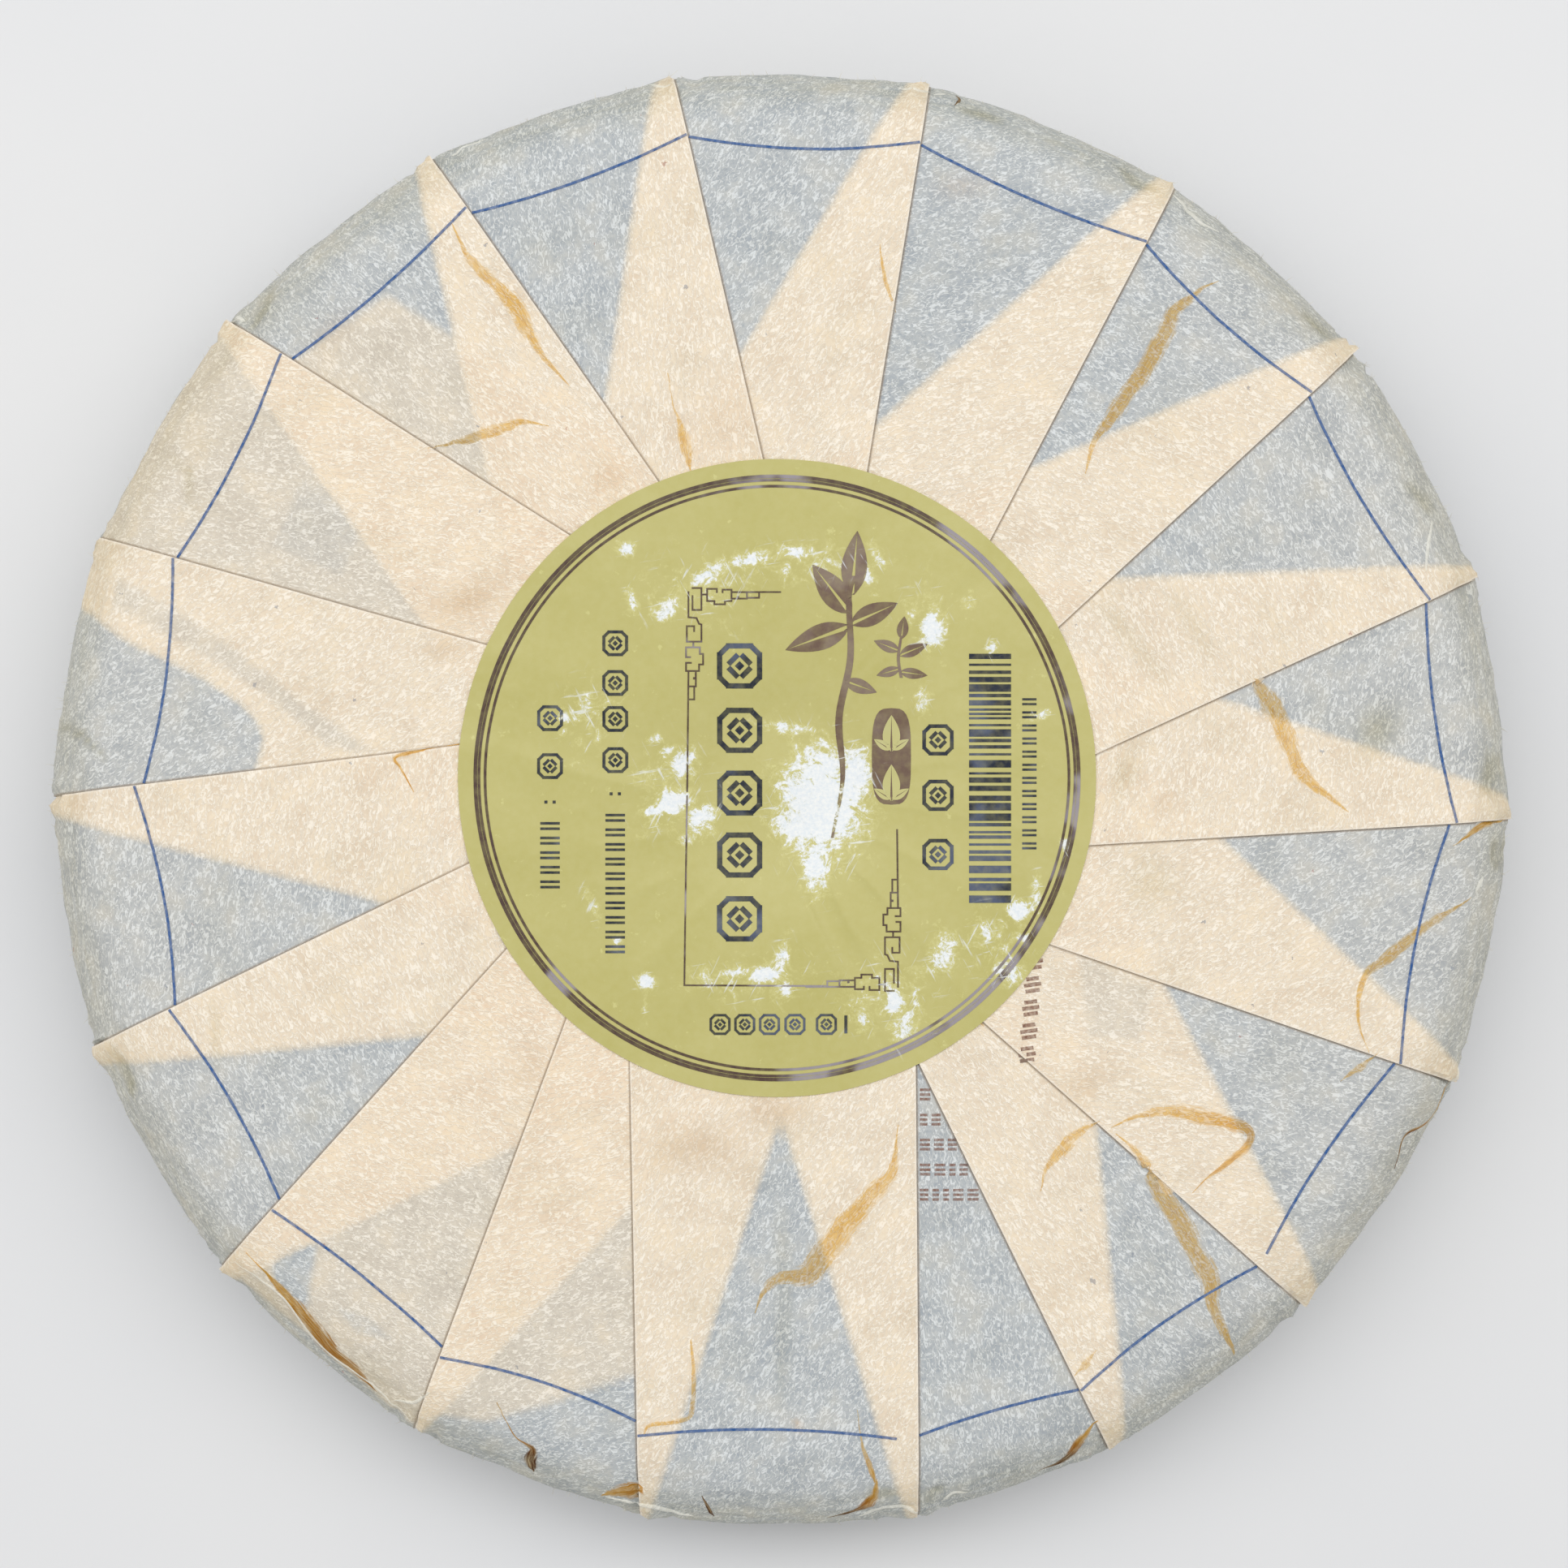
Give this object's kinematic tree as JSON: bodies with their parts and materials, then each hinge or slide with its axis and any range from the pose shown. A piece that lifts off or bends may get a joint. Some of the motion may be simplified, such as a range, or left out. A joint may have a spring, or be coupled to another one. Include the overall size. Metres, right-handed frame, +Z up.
{
  "type": "wrapped pu erh tea cake",
  "caption": "Round pressed tea cake in a pleated paper wrapper, lying face down with a round label stuck over the gathered pleats.",
  "frame": {"origin": "middle of the flat spot that the cake rests on, under the cake's axis", "axes": "+Z up, along the cake's axis, towards the pleated back with the label; +Y towards the top of the label"},
  "size_m": [0.2006, 0.1981, 0.025],
  "materials": {
    "wrapper_paper": "thin matte handmade paper, see-through enough that single layers look grey over the dark tea and folded layers look cream",
    "label_paper": "smooth printed sticker, olive gold with white scuffs"
  },
  "bodies": {
    "root": {"wrapped_cake": "wrapper_paper", "round_label": "label_paper"}
  },
  "joints": []
}
